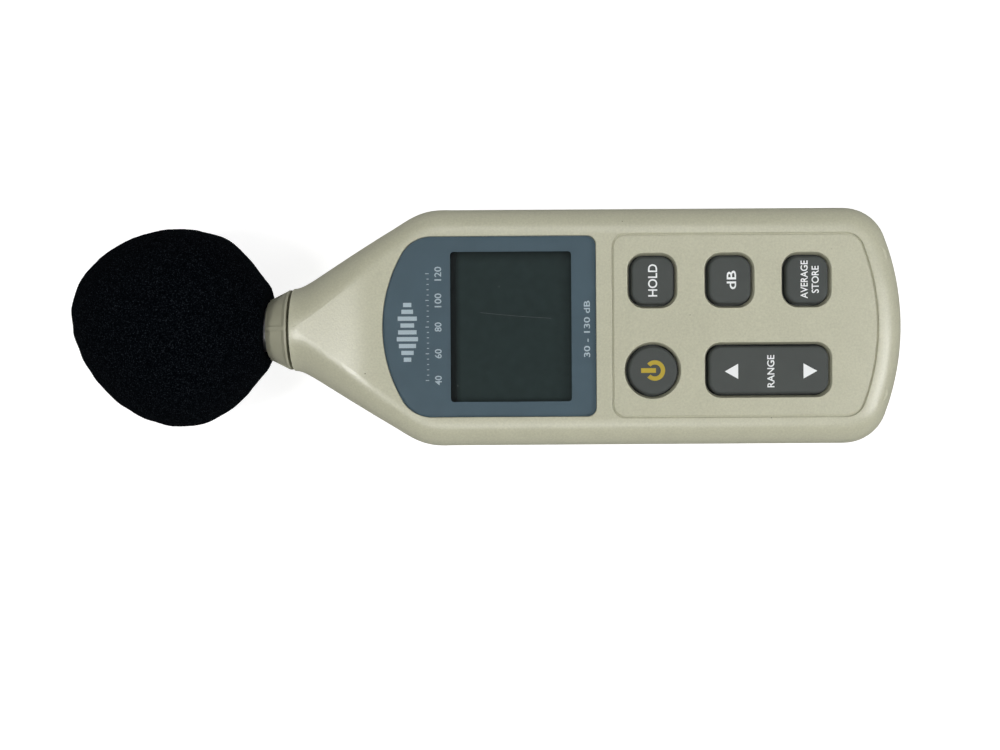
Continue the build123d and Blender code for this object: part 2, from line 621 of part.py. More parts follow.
# ---------------------------------------------------------------- keys
with BuildPart() as keypad_mat:
    with BuildSketch(Plane.XY.offset(MAT_Z[0])):
        with Locations((sum(MAT_X) / 2, sum(MAT_Y) / 2)):
            RectangleRounded(MAT_X[1] - MAT_X[0], MAT_Y[1] - MAT_Y[0], 2)
        for name, shape, place, flange_z, foot_z, contacts in KEYS:
            with Locations(place):
                add(key_outline(shape, STEM_CLEARANCE - STEM_INSET), mode=Mode.SUBTRACT)
    extrude(amount=MAT_Z[1] - MAT_Z[0])
save(keypad_mat, "keypad_mat")

for name, shape, place, flange_z, foot_z, contacts in KEYS:
    with BuildPart() as key:
        for grow, z_range in (
            (-STEM_INSET, (foot_z, flange_z)),
            (FLANGE_REACH, (flange_z, flange_z + FLANGE_THICK)),
            (0.0, (flange_z + FLANGE_THICK, KEY_TOP_Z)),
        ):
            with BuildSketch(Plane.XY.offset(z_range[0])):
                with Locations(place):
                    add(key_outline(shape, grow))
            extrude(amount=z_range[1] - z_range[0])
        fillet(key.faces().sort_by(Axis.Z)[-1].edges(), KEY_ROUNDING)
    save(key, f"{name}_key")
    with BuildPart() as pill:
        with BuildSketch(Plane.XY.offset(foot_z - PILL_THICK)):
            with Locations(*[(place[0] + contact, place[1]) for contact in contacts]):
                Circle(PILL_RADIUS)
        extrude(amount=PILL_THICK)
    save(pill, f"{name}_pill")

# ---------------------------------------------------------------- nose and microphone
flare_x = COLLAR_X[1] - COLLAR_LIP - COLLAR_FLARE
flare_radius = COLLAR_RADII[1] - RIB_HEIGHT - COLLAR_FLARE / 2
with BuildPart() as nose_collar:
    with BuildSketch(MIC_SECTION):
        with BuildLine():
            Polyline(
                (COLLAR_X[0], MIC_RADIUS + 0.1),
                (COLLAR_X[0], COLLAR_RADII[0] - RIB_HEIGHT),
                (flare_x, flare_radius),
                (COLLAR_X[1] - COLLAR_LIP, COLLAR_RADII[1]),
                (COLLAR_X[1], COLLAR_RADII[1]),
                (COLLAR_X[1], WEB_BORE - 0.15),
                (SPIGOT_BACK_X, WEB_BORE - 0.15),
                (SPIGOT_BACK_X, MIC_RADIUS + 0.1),
                close=True,
            )
        make_face()
    revolve(axis=MIC_AXIS)
    # ribs along the cone, each as high as the lip behind it
    with BuildSketch(MIC_SECTION):
        with BuildLine():
            Polyline(
                (COLLAR_X[0] + 0.1, COLLAR_RADII[0] - RIB_HEIGHT - 0.5),
                (COLLAR_X[0] + 0.1, COLLAR_RADII[0]),
                (COLLAR_X[1] - COLLAR_LIP, COLLAR_RADII[1]),
                (COLLAR_X[1] - COLLAR_LIP, COLLAR_RADII[1] - RIB_HEIGHT - 1.5),
                close=True,
            )
        make_face()
    rib = extrude(amount=RIB_WIDTH / 2, both=True)
    for turn in (90, 180, 270):
        add(rib.rotate(MIC_AXIS, turn))
save(nose_collar, "nose_collar")


def turned(outline, label):
    """A piece turned about the microphone's axis, from its outline as points of X and radius."""
    with BuildPart() as piece:
        with BuildSketch(MIC_SECTION):
            with BuildLine():
                Polyline(*outline, close=True)
            make_face()
        revolve(axis=MIC_AXIS)
    save(piece, label)


def ring(x_range, inner, outer):
    """The outline of a plain tube."""
    return [(x_range[0], inner), (x_range[0], outer), (x_range[1], outer), (x_range[1], inner)]


bore = MIC_RADIUS - TUBE_WALL
turned(ring((SPIGOT_BACK_X + 0.1, WEB_BACK_X - 0.2), MIC_RADIUS, WEB_BORE - 0.05), "mic_bush")
turned(ring((TUBE_FRONT_X, TUBE_BACK_X), bore, MIC_RADIUS), "mic_tube")
turned(ring((TUBE_BACK_X - 2, TUBE_BACK_X), COAX_RADIUS, bore), "mic_plug")
turned(ring((TUBE_FRONT_X + 1, BOARD_X[0] + 4), 0.0, COAX_RADIUS), "mic_coax")
turned(ring((CAPSULE_X + 0.1, CAPSULE_X + 0.2), 0.0, bore), "mic_diaphragm")
turned(ring((CAPSULE_X + 0.7, CAPSULE_X + 2.2), 0.0, bore), "mic_backplate")
capsule_outline = [
    (CAPSULE_X, bore),
    (CAPSULE_X, MIC_RADIUS),
    (TUBE_FRONT_X - 0.05, MIC_RADIUS),
    (TUBE_FRONT_X - 0.05, COAX_RADIUS),
    (TUBE_FRONT_X - 1.5, COAX_RADIUS),
    (TUBE_FRONT_X - 1.5, bore),
]
turned(capsule_outline, "mic_capsule")

with BuildPart() as mic_grid:
    with BuildSketch(MIC_SECTION):
        with BuildLine():
            Polyline(
                (CAPSULE_X - 0.02, bore),
                (CAPSULE_X - 0.02, MIC_RADIUS),
                (MIC_TIP_X + 0.5, MIC_RADIUS),
                (MIC_TIP_X, MIC_RADIUS - 0.5),
                (MIC_TIP_X, 0),
                (MIC_TIP_X + 0.7, 0),
                (MIC_TIP_X + 0.7, bore),
                close=True,
            )
        make_face()
    revolve(axis=MIC_AXIS)
    with BuildSketch(Plane(origin=(MIC_TIP_X, 0, MIC_Z), x_dir=(0, 1, 0), z_dir=(1, 0, 0))):
        with PolarLocations(3.4, 8):
            SlotOverall(3.8, 0.9)
        Circle(0.5)
    extrude(amount=0.7, mode=Mode.SUBTRACT)
save(mic_grid, "mic_grid")

# ---------------------------------------------------------------- foam windscreen
# A ball that runs into a short cone towards the collar. The floor flattens it underneath.
reach = FOAM_BACK_X - FOAM_CENTRE_X
touch = atan2(FOAM_BACK_RADIUS, reach) + acos(FOAM_RADIUS / hypot(reach, FOAM_BACK_RADIUS))
touch_point = (FOAM_CENTRE_X + FOAM_RADIUS * cos(touch), FOAM_RADIUS * sin(touch))
with BuildPart() as windscreen:
    with BuildSketch(MIC_SECTION):
        with BuildLine():
            CenterArc((FOAM_CENTRE_X, 0), FOAM_RADIUS, degrees(touch), 180 - degrees(touch))
            Line(touch_point, (FOAM_BACK_X, FOAM_BACK_RADIUS))
            Line((FOAM_BACK_X, FOAM_BACK_RADIUS), (FOAM_BACK_X, 0))
            Line((FOAM_BACK_X, 0), (FOAM_CENTRE_X - FOAM_RADIUS, 0))
        make_face()
    revolve(axis=MIC_AXIS)
    with BuildSketch(Plane(origin=(FOAM_BACK_X, 0, MIC_Z), z_dir=(-1, 0, 0))):
        Circle(FOAM_BORE_RADIUS)
    extrude(amount=FOAM_BACK_X - MIC_TIP_X + 0.5, mode=Mode.SUBTRACT)
    split(bisect_by=FLOOR, keep=Keep.TOP)
save(windscreen, "windscreen")
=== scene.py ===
import json
import math

import bmesh
import bpy
import numpy as np
from mathutils import Matrix, Vector, noise


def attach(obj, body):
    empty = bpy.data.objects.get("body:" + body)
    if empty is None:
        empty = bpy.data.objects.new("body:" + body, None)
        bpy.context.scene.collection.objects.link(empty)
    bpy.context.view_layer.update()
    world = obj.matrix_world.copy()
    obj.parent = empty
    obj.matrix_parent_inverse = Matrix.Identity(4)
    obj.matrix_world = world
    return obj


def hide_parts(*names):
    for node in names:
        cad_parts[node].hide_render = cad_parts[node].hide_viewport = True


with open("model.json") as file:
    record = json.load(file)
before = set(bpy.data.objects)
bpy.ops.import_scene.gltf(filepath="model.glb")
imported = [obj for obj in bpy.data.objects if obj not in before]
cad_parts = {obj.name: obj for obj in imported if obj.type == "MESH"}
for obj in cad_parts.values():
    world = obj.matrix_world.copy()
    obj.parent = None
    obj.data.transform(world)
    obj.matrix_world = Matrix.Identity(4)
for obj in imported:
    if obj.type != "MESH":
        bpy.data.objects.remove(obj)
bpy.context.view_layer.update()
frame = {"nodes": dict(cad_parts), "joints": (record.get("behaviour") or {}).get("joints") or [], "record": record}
scene = bpy.context.scene

# ------------------------------------------------------------------ the meter's own frame
# Positions on the meter are in millimetres along it, across it and out of its display face,
# from the middle of the flat of its back. METER lays them in the frame that it rests in.
MM = 0.001
joints = {joint["name"]: joint for joint in frame["joints"]}
mounts = {mount["name"]: mount for mount in frame["record"]["mounts"]}
OUT = -Vector(joints["power_press"]["axis"]).normalized()
ALONG = Vector(joints["battery_cover_slide"]["axis"]).normalized()
ACROSS = OUT.cross(ALONG)
BACK_FACE_Y = 10
BACK = Vector(mounts["back_face"]["pos_m"]) - ACROSS * BACK_FACE_Y * MM
METER_TURN = Matrix((ALONG, ACROSS, OUT)).transposed().to_4x4()
METER = Matrix.Translation(BACK) @ METER_TURN @ Matrix.Scale(MM, 4)
INTO_METER = METER.inverted()


def meter_box(node):
    """Lowest and highest corner of a CAD node in the meter's own frame, in millimetres."""
    corners = np.array([INTO_METER @ vertex.co for vertex in frame["nodes"][node].data.vertices])
    return Vector(corners.min(axis=0)), Vector(corners.max(axis=0))


# ------------------------------------------------------------------ camera, lights and floor
# The camera looks squarely at the display face. Its place is in the meter's own frame.
CAMERA_PLACE = (4.1, -14.13, 380.0)
CAMERA_LENS = 42.63
SENSOR_WIDTH = 36
CAMERA_ROLL = -0.36  # degrees

camera = bpy.data.objects.new("camera", bpy.data.cameras.new("camera"))
camera.data.lens = CAMERA_LENS
camera.data.sensor_width = SENSOR_WIDTH
camera.data.clip_start = 0.05
camera.matrix_world = (
    Matrix.Translation(METER @ Vector(CAMERA_PLACE))
    @ METER_TURN
    @ Matrix.Rotation(math.radians(CAMERA_ROLL), 4, "Z")
)
scene.collection.objects.link(camera)
scene.camera = camera

scene.view_settings.view_transform = "Standard"
scene.view_settings.look = "None"


def area_light(name, place, size, power, colour=(1, 1, 1)):
    """A soft square light aimed at the middle of the meter."""
    light = bpy.data.lights.new(name, "AREA")
    light.shape = "RECTANGLE"
    light.size, light.size_y = size
    light.energy = power
    light.color = colour
    lamp = bpy.data.objects.new(name, light)
    lamp.location = place
    lamp.rotation_euler = (-Vector(place)).to_track_quat("-Z", "Y").to_euler()
    scene.collection.objects.link(lamp)


# The lights leave the zenith dark, so that the flat lens shows the display and not a lamp.
area_light("key_light", (-0.55, -0.15, 0.98), (0.22, 0.24), 4.4, (1.0, 0.99, 0.97))
area_light("front_light", (0.05, -0.55, 1.00), (0.7, 0.35), 2.9)
area_light("right_light", (0.66, -0.08, 0.58), (0.26, 0.5), 3.0)
area_light("back_light", (0.15, 0.50, 1.00), (0.7, 0.35), 2.3)

world = bpy.data.worlds.new("studio")
world.use_nodes = True
background = world.node_tree.nodes["Background"]
background.inputs["Color"].default_value = (0.95, 0.97, 1.0, 1)
background.inputs["Strength"].default_value = 0.08
scene.world = world

FLOOR_REACH = 4  # metres from the middle to each edge, and the backdrop's height
FLOOR_CORNERS = [(-FLOOR_REACH, -FLOOR_REACH), (FLOOR_REACH, -FLOOR_REACH)]
FLOOR_CORNERS += [(FLOOR_REACH, FLOOR_REACH), (-FLOOR_REACH, FLOOR_REACH)]


def stage_piece(name, corners, faces):
    """A flat-faced part of the surroundings."""
    mesh = bpy.data.meshes.new(name)
    mesh.from_pydata(corners, [], faces)
    made = bpy.data.objects.new(name, mesh)
    scene.collection.objects.link(made)
    return made


floor = stage_piece("floor", [(x, y, 0) for x, y in FLOOR_CORNERS], [(0, 1, 2, 3)])
floor.visible_glossy = False

# A pale backdrop stands on the floor's edges. Only the camera sees it, so it sheds no light.
backdrop = stage_piece(
    "backdrop",
    [(x, y, z) for z in (0, FLOOR_REACH) for x, y in FLOOR_CORNERS],
    [(side, (side + 1) % 4, (side + 1) % 4 + 4, side + 4) for side in range(4)],
)
for kind in ("diffuse", "glossy", "transmission", "shadow"):
    setattr(backdrop, "visible_" + kind, False)


# ------------------------------------------------------------------ materials
def new_material(name, roughness, metallic=0.0):
    """A material with its roughness and metalness set, ready for its nodes."""
    made = bpy.data.materials.new(name)
    made.use_nodes = True
    shader = made.node_tree.nodes["Principled BSDF"]
    shader.inputs["Roughness"].default_value = roughness
    shader.inputs["Metallic"].default_value = metallic
    return made, made.node_tree, shader


def node(tree, kind, **values):
    """A node with its inputs set by name, and its own properties where they are lower case."""
    made = tree.nodes.new(kind)
    for key, value in values.items():
        if key in made.inputs:
            made.inputs[key].default_value = value
        else:
            setattr(made, key, value)
    return made


def millimetres(tree):
    """The position on the object, in millimetres."""
    place = tree.nodes.new("ShaderNodeTexCoord")
    scale = node(tree, "ShaderNodeVectorMath", operation="SCALE")
    scale.inputs["Scale"].default_value = 1 / MM
    tree.links.new(place.outputs["Object"], scale.inputs[0])
    return scale.outputs[0]


def noise_field(tree, place, scale, detail=3.0, roughness=0.6):
    """Noise from 0 to 1, with features about 1/scale millimetres across."""
    field = tree.nodes.new("ShaderNodeTexNoise")
    field.inputs["Scale"].default_value = scale
    field.inputs["Detail"].default_value = detail
    field.inputs["Roughness"].default_value = roughness
    tree.links.new(place, field.inputs["Vector"])
    return field.outputs["Fac"]


def blended(tree, factor, low, high, start=0.3, end=0.7):
    """Colour that goes from low to high as factor goes from start to end."""
    ramp = tree.nodes.new("ShaderNodeValToRGB")
    ramp.color_ramp.elements[0].position = start
    ramp.color_ramp.elements[1].position = end
    ramp.color_ramp.elements[0].color = (*low, 1)
    ramp.color_ramp.elements[1].color = (*high, 1)
    tree.links.new(factor, ramp.inputs["Fac"])
    return ramp.outputs["Color"]


def bump(tree, shader, height, distance, strength=1.0):
    """Relief of that height in millimetres."""
    relief = tree.nodes.new("ShaderNodeBump")
    relief.inputs["Distance"].default_value = distance * MM
    relief.inputs["Strength"].default_value = strength
    tree.links.new(height, relief.inputs["Height"])
    tree.links.new(relief.outputs["Normal"], shader.inputs["Normal"])


def lighter(colour, amount):
    """The colour, lighter by that share, or darker where the share is negative."""
    return tuple(min(1.0, channel * (1 + amount)) for channel in colour)


MOTTLE_GRAIN = 0.12
GLOSS_SPREAD = 0.06


def moulded(
    name, colour, roughness, variation=0.04, grain=3.0, relief=0.02, metallic=0.0, speckle=0.0
):
    """Moulded plastic, rubber or plain metal: faint mottling, uneven gloss and a fine grain.

    The grain's relief is in millimetres. Speckle is the fine grain's share in the mottling.
    """
    made, tree, shader = new_material(name, roughness, metallic)
    place = millimetres(tree)
    mottle = noise_field(tree, place, MOTTLE_GRAIN, 4)
    fine = noise_field(tree, place, grain, 2)
    if speckle:
        both = node(tree, "ShaderNodeMix", data_type="FLOAT")
        both.inputs["Factor"].default_value = speckle
        tree.links.new(mottle, both.inputs["A"])
        tree.links.new(fine, both.inputs["B"])
        mottle = both.outputs["Result"]
    colours = blended(tree, mottle, lighter(colour, -variation), lighter(colour, variation))
    tree.links.new(colours, shader.inputs["Base Color"])
    gloss = node(tree, "ShaderNodeMapRange")
    gloss.inputs["To Min"].default_value = roughness - GLOSS_SPREAD
    gloss.inputs["To Max"].default_value = roughness + GLOSS_SPREAD
    tree.links.new(fine, gloss.inputs["Value"])
    tree.links.new(gloss.outputs["Result"], shader.inputs["Roughness"])
    bump(tree, shader, fine, relief)
    return made


DISPLAY = (0.021, 0.034, 0.033)
# Painted shadow of the window's rim on the display, along and across the meter: where the display is
# darkest, where it is clear, and the share of its brightness that is left at the darkest.
DISPLAY_PAINTED_SHADOW = {"X": (-9.4, -7.0, 0.30), "Y": (22.4, 18.4, 0.62)}
DISPLAY_Z = meter_box("lcd_glass")[1].z


def display_material():
    """The display's dark grey-green, with painted shadow of the window's rim beside its front and port-side edges.
    """
    made, tree, shader = new_material("liquid_crystal", 0.22)
    place = millimetres(tree)
    mottle = noise_field(tree, place, 0.35, 4)
    colours = blended(tree, mottle, lighter(DISPLAY, -0.08), lighter(DISPLAY, 0.08))
    along_across = tree.nodes.new("ShaderNodeSeparateXYZ")
    tree.links.new(place, along_across.inputs[0])
    # Painted shadow: the colour darkens towards the window's front and port-side edges.
    shade = None
    for index, (axis, (dark, clear, darkest)) in enumerate(DISPLAY_PAINTED_SHADOW.items()):
        fade = node(tree, "ShaderNodeMapRange", interpolation_type="SMOOTHSTEP")
        for end, edge in (("From Min", dark), ("From Max", clear)):
            point = METER @ Vector((edge, edge, DISPLAY_Z))
            fade.inputs[end].default_value = point[index] / MM
        fade.inputs["To Min"].default_value = darkest
        tree.links.new(along_across.outputs[axis], fade.inputs["Value"])
        if shade is None:
            shade = fade.outputs["Result"]
        else:
            both = node(tree, "ShaderNodeMath", operation="MULTIPLY")
            tree.links.new(shade, both.inputs[0])
            tree.links.new(fade.outputs["Result"], both.inputs[1])
            shade = both.outputs[0]
    shaded = node(tree, "ShaderNodeVectorMath", operation="SCALE")
    tree.links.new(colours, shaded.inputs[0])
    tree.links.new(shade, shaded.inputs["Scale"])
    tree.links.new(shaded.outputs[0], shader.inputs["Base Color"])
    bump(tree, shader, noise_field(tree, place, 1.5), 0.002)
    return made


CASING = (0.475, 0.470, 0.350)
casing = moulded("casing_abs", CASING, 0.34, 0.10, 1.7, 0.04, speckle=0.75)
casing.node_tree.nodes["Principled BSDF"].inputs["Specular IOR Level"].default_value = 0.9
# The collar's colour is the casing's, 30 percent darker: partly its own darker plastic, partly painted shade from
# the foam ball above it.
collar_plastic_and_shade = moulded("collar_abs_and_shade", lighter(CASING, -0.30), 0.40, 0.03, 3.2, 0.02)
bezel_ink = moulded("bezel_ink", (0.058, 0.098, 0.128), 0.55, 0.05, 2.0, 0.004)
liquid_crystal = display_material()
key_rubber = moulded("key_rubber", (0.047, 0.054, 0.050), 0.66, 0.06, 4.0, 0.02)
print_white = moulded("print_white", (0.80, 0.82, 0.82), 0.5, 0.02, 4.0, 0.004)
print_pale = moulded("print_pale", (0.46, 0.54, 0.59), 0.5, 0.04, 4.0, 0.004)
print_gold = moulded("print_gold", (0.43, 0.32, 0.02), 0.5, 0.08, 4.0, 0.004)

slot_materials = {
    "casing": casing,
    "collar": collar_plastic_and_shade,
    "bezel_print": bezel_ink,
    "lcd": liquid_crystal,
    "key_rubber": key_rubber,
    "white_plastic": moulded("white_plastic", (0.75, 0.75, 0.72), 0.5),
    "black_plastic": moulded("black_plastic", (0.02, 0.02, 0.021), 0.45),
    "conductive_rubber": moulded("conductive_rubber", (0.03, 0.03, 0.03), 0.7),
    "mat_rubber": moulded("mat_rubber", (0.03, 0.032, 0.031), 0.65),
    "board": moulded("solder_mask", (0.02, 0.13, 0.05), 0.35, 0.12, 1.0, 0.01),
    "gold": moulded("gold_plate", (0.83, 0.60, 0.22), 0.3, 0.04, 4.0, 0.003, 1.0),
    "brass": moulded("turned_brass", (0.76, 0.57, 0.25), 0.3, 0.06, 5.0, 0.006, 1.0),
    "steel": moulded("bright_steel", (0.60, 0.60, 0.61), 0.32, 0.05, 5.0, 0.006, 1.0),
    "mic_metal": moulded("satin_aluminium", (0.62, 0.62, 0.63), 0.38, 0.03, 8.0, 0.006, 1.0),
    "cell_sleeve": moulded("cell_sleeve", (0.03, 0.07, 0.24), 0.28, 0.1, 0.8, 0.004),
    "coax": moulded("coax_jacket", (0.02, 0.02, 0.02), 0.5),
    "trimmer_blue": moulded("trimmer_blue", (0.02, 0.10, 0.42), 0.35),
    "foam": moulded("foam_underlay", (0.01, 0.01, 0.012), 0.9),
}


def clear_acrylic():
    """See-through, with the gloss of a polished sheet."""
    made = bpy.data.materials.new("clear_acrylic")
    made.use_nodes = True
    tree = made.node_tree
    tree.nodes.remove(tree.nodes["Principled BSDF"])
    place = millimetres(tree)
    through = tree.nodes.new("ShaderNodeBsdfTransparent")
    through.inputs["Color"].default_value = (0.97, 0.98, 0.98, 1)
    gloss = tree.nodes.new("ShaderNodeBsdfGlossy")
    gloss.inputs["Roughness"].default_value = 0.06
    waviness = noise_field(tree, place, 0.08, 2)
    relief = tree.nodes.new("ShaderNodeBump")
    relief.inputs["Distance"].default_value = 0.02 * MM
    tree.links.new(waviness, relief.inputs["Height"])
    tree.links.new(relief.outputs["Normal"], gloss.inputs["Normal"])
    # The share that a clear sheet reflects, the same from either face.
    slant = node(tree, "ShaderNodeLayerWeight", Blend=0.5)
    steep = node(tree, "ShaderNodeMath", operation="POWER")
    steep.inputs[1].default_value = 5.0
    share = node(tree, "ShaderNodeMapRange")
    share.inputs["To Min"].default_value = 0.035
    mix = tree.nodes.new("ShaderNodeMixShader")
    tree.links.new(slant.outputs["Facing"], steep.inputs[0])
    tree.links.new(steep.outputs[0], share.inputs["Value"])
    tree.links.new(share.outputs["Result"], mix.inputs["Fac"])
    tree.links.new(through.outputs[0], mix.inputs[1])
    tree.links.new(gloss.outputs[0], mix.inputs[2])
    tree.links.new(mix.outputs[0], tree.nodes["Material Output"].inputs["Surface"])
    return made


slot_materials["lens"] = clear_acrylic()

for entry in frame["record"]["subparts"]:
    piece = frame["nodes"][entry["node"]]
    piece.data.materials.clear()
    piece.data.materials.append(slot_materials[entry["material_slot"]])

floor_material, _, floor_shader = new_material("pale_floor", 0.9)
floor_shader.inputs["Base Color"].default_value = (0.45, 0.45, 0.45, 1)
floor_shader.inputs["Emission Color"].default_value = (1, 1, 1, 1)
floor_shader.inputs["Emission Strength"].default_value = 0.80
for piece in (floor, backdrop):
    piece.data.materials.append(floor_material)


# ------------------------------------------------------------------ small helpers for pieces
def settle(piece, body):
    """Put a finished piece on its body."""
    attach(piece, body)
    return piece


def from_mesh(name, mesh, material):
    """A new object from a mesh drawn in the meter's own frame."""
    mesh.transform(METER)
    piece = bpy.data.objects.new(name, mesh)
    mesh.materials.append(material)
    scene.collection.objects.link(piece)
    return piece


# ------------------------------------------------------------------ foam windscreen
FOAM_CELL = 0.55  # millimetres between the remeshed ball's vertices
FOAM_AROUND = 96
FOAM_STEPS = 40
FOAM_RIM = 1.2  # rounding of the ball's back edges
foam_low, foam_high = meter_box("windscreen")
tube_low, tube_high = meter_box("mic_tube")
grid_low, grid_high = meter_box("mic_grid")
mic_z = (tube_low.z + tube_high.z) / 2
foam_radius = (foam_high.y - foam_low.y) / 2
foam_centre = Vector((foam_low.x + foam_radius, 0, mic_z))
foam_back_x = foam_high.x
foam_back_radius = 14.3
bore_radius = (tube_high.y - tube_low.y) / 2 + 0.3


def foam_profile():
    """Points of X and radius from the front of the ball over its cone and down into its bore."""
    reach = foam_back_x - foam_centre.x
    touch = math.atan2(foam_back_radius, reach)
    touch += math.acos(foam_radius / math.hypot(reach, foam_back_radius))
    points = []
    for step in range(1, FOAM_STEPS + 1):
        angle = math.pi - (math.pi - touch) * step / FOAM_STEPS
        x = foam_centre.x + foam_radius * math.cos(angle)
        points.append((x, foam_radius * math.sin(angle)))
    points.append((foam_back_x - FOAM_RIM, foam_back_radius + 0.4 * FOAM_RIM))
    points.append((foam_back_x, foam_back_radius - FOAM_RIM))
    points.append((foam_back_x, bore_radius + FOAM_RIM))
    points.append((foam_back_x - FOAM_RIM, bore_radius))
    points.append((grid_low.x - 0.4, bore_radius))
    return points


def foam_shape():
    """The ball as one closed mesh of even faces, in the meter's own frame."""
    mesh = bmesh.new()
    front = mesh.verts.new((foam_centre.x - foam_radius, 0, mic_z))
    rings = []
    for x, radius in foam_profile():
        ring = []
        for turn in range(FOAM_AROUND):
            angle = 2 * math.pi * turn / FOAM_AROUND
            spot = (x, radius * math.cos(angle), mic_z + radius * math.sin(angle))
            ring.append(mesh.verts.new(spot))
        rings.append(ring)
    for turn in range(FOAM_AROUND):
        nxt = (turn + 1) % FOAM_AROUND
        mesh.faces.new((front, rings[0][nxt], rings[0][turn]))
        for ring, following in zip(rings, rings[1:]):
            mesh.faces.new((ring[turn], ring[nxt], following[nxt], following[turn]))
    mesh.faces.new(rings[-1])
    bmesh.ops.recalc_face_normals(mesh, faces=mesh.faces)
    made = bpy.data.meshes.new("foam_ball")
    mesh.to_mesh(made)
    mesh.free()
    return made


# The ball is out of true: how far its outline stands, seen from above, as a share of its radius.
# The directions go round from the collar, first towards the side with the ports, in even steps.
FOAM_OUTLINE = [
    1.000, 1.010, 1.020, 1.039, 1.064, 1.044, 1.029, 1.016, 1.019, 1.029, 1.046, 1.036,
    0.993, 0.951, 0.924, 0.915, 0.925, 0.948, 0.975, 0.990, 0.974, 0.964, 0.958, 0.985,
]
FLOOR_CLEARANCE = 0.02
# The colour in the foam's pits is painted shade in its pores; the specks are the ends of the strands.
FOAM_PAINTED_PORE_SHADE = (0.0003, 0.0008, 0.0015)
FOAM_SPECKS = (0.032, 0.038, 0.046)
# How fine the ball's surface is uneven, per millimetre, and by how much, in millimetres.
FOAM_PORES = ((1.1, 0.10), (0.3, 0.08))
FOAM_SINK = 0.05


def out_of_true(point):
    """Moves a point of the foam, in the meter's own frame, for the ball's uneven outline."""
    arm = point - foam_centre
    turn = math.atan2(arm.y, arm.x) / (2 * math.pi) * len(FOAM_OUTLINE)
    step = math.floor(turn)
    share = (1 - math.cos(math.pi * (turn - step))) / 2
    low, high = (FOAM_OUTLINE[index % len(FOAM_OUTLINE)] for index in (step, step + 1))
    swell = low + (high - low) * share - 1
    flatness = math.hypot(arm.x, arm.y) / max(arm.length, 1e-6)
    outwards = min(1.0, arm.length / foam_radius)
    return foam_centre + arm * (1 + swell * flatness * outwards ** 4)


foam_mesh = foam_shape()
foam = bpy.data.objects.new("foam_ball", foam_mesh)
scene.collection.objects.link(foam)
remesh = foam.modifiers.new("even", "REMESH")
remesh.mode = "VOXEL"
remesh.voxel_size = FOAM_CELL
bpy.context.view_layer.update()
remeshed = foam.evaluated_get(bpy.context.evaluated_depsgraph_get())
even = bpy.data.meshes.new_from_object(remeshed)
foam.modifiers.clear()
foam.data = even
even.name = "foam_ball"
for vertex in even.vertices:
    point = out_of_true(vertex.co)
    grown = (point - foam_centre).normalized()
    in_bore = math.hypot(point.y, point.z - mic_z) < bore_radius + 0.8
    if not (in_bore and point.x > grid_low.x - 1.0):
        pores = sum(noise.noise(point * fineness) * height for fineness, height in FOAM_PORES)
        point += grown * (pores - FOAM_SINK)
    laid = METER @ point
    laid.z = max(laid.z, FLOOR_CLEARANCE * MM)
    vertex.co = laid
for face in even.polygons:
    face.use_smooth = True


def foam_material():
    """Black open-cell foam: its pits darkened with painted shade, with the ends of the strands as fine specks."""
    made, tree, shader = new_material("black_foam", 0.9)
    place = millimetres(tree)
    strands = noise_field(tree, place, 2.6, 2.0, 0.75)
    # The colour follows the strands' relief: painted shade in the low pits, lighter specks on the strands.
    colours = blended(tree, strands, FOAM_PAINTED_PORE_SHADE, FOAM_SPECKS, 0.53, 0.84)
    tree.links.new(colours, shader.inputs["Base Color"])
    shader.inputs["Specular IOR Level"].default_value = 0.01
    bump(tree, shader, strands, 0.25)
    return made


even.materials.clear()
even.materials.append(foam_material())
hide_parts("windscreen")
settle(foam, "windscreen")

# ------------------------------------------------------------------ legends
PRINT_THICK = 0.04
mask_top = meter_box("lens_mask")[1].z
key_top = meter_box("hold_key")[1].z


def legend(name, words, centre, height, cap, length, body, material):
    """Printed words that read across the meter, their tops towards the microphone."""
    text = bpy.data.curves.new(name, "FONT")
    text.body = words
    text.align_x = "CENTER"
    text.align_y = "CENTER"
    text.size = 1.0
    text.offset = 0.012
    text.extrude = 0.5
    text.resolution_u = 4
    source = bpy.data.objects.new(name, text)
    scene.collection.objects.link(source)
    bpy.context.view_layer.update()
    drawn = source.evaluated_get(bpy.context.evaluated_depsgraph_get())
    mesh = bpy.data.meshes.new_from_object(drawn)
    bpy.data.objects.remove(source)
    bpy.data.curves.remove(text)
    corners = np.array([vertex.co for vertex in mesh.vertices])
    low, high = corners.min(axis=0), corners.max(axis=0)
    mesh.transform(Matrix.Translation(-Vector((low + high) / 2)))
    wide, tall = high[0] - low[0], high[1] - low[1]
    scale = Matrix.Diagonal((length / wide, cap / tall, PRINT_THICK, 1))
    quarter_turn = Matrix(((0, -1, 0, 0), (1, 0, 0, 0), (0, 0, 1, 0), (0, 0, 0, 1)))
    mesh.transform(Matrix.Translation((*centre, height + PRINT_THICK / 2)) @ quarter_turn @ scale)
    mesh.materials.clear()
    return settle(from_mesh(name, mesh, material), body)


def flat_shape(name, outlines, height, body, material):
    """A thin print from closed outlines of (x, y) points."""
    mesh = bmesh.new()
    for outline in outlines:
        ring = [mesh.verts.new((x, y, height)) for x, y in outline]
        face = mesh.faces.new(ring)
        if face.normal.z < 0:
            face.normal_flip()
        raised = bmesh.ops.extrude_face_region(mesh, geom=[face])
        lifted = [item for item in raised["geom"] if isinstance(item, bmesh.types.BMVert)]
        bmesh.ops.translate(mesh, verts=lifted, vec=(0, 0, PRINT_THICK))
    bmesh.ops.recalc_face_normals(mesh, faces=mesh.faces)
    made = bpy.data.meshes.new(name)
    mesh.to_mesh(made)
    mesh.free()
    return settle(from_mesh(name, made, material), body)


def rectangle(x_range, y_range):
    """Corners of a rectangle along the meter's edges."""
    (x0, x1), (y0, y1) = x_range, y_range
    return [(x0, y0), (x1, y0), (x1, y1), (x0, y1)]


def middle(node):
    """X and Y of a CAD node's middle, in the meter's own frame."""
    low, high = meter_box(node)
    return (low.x + high.x) / 2, (low.y + high.y) / 2


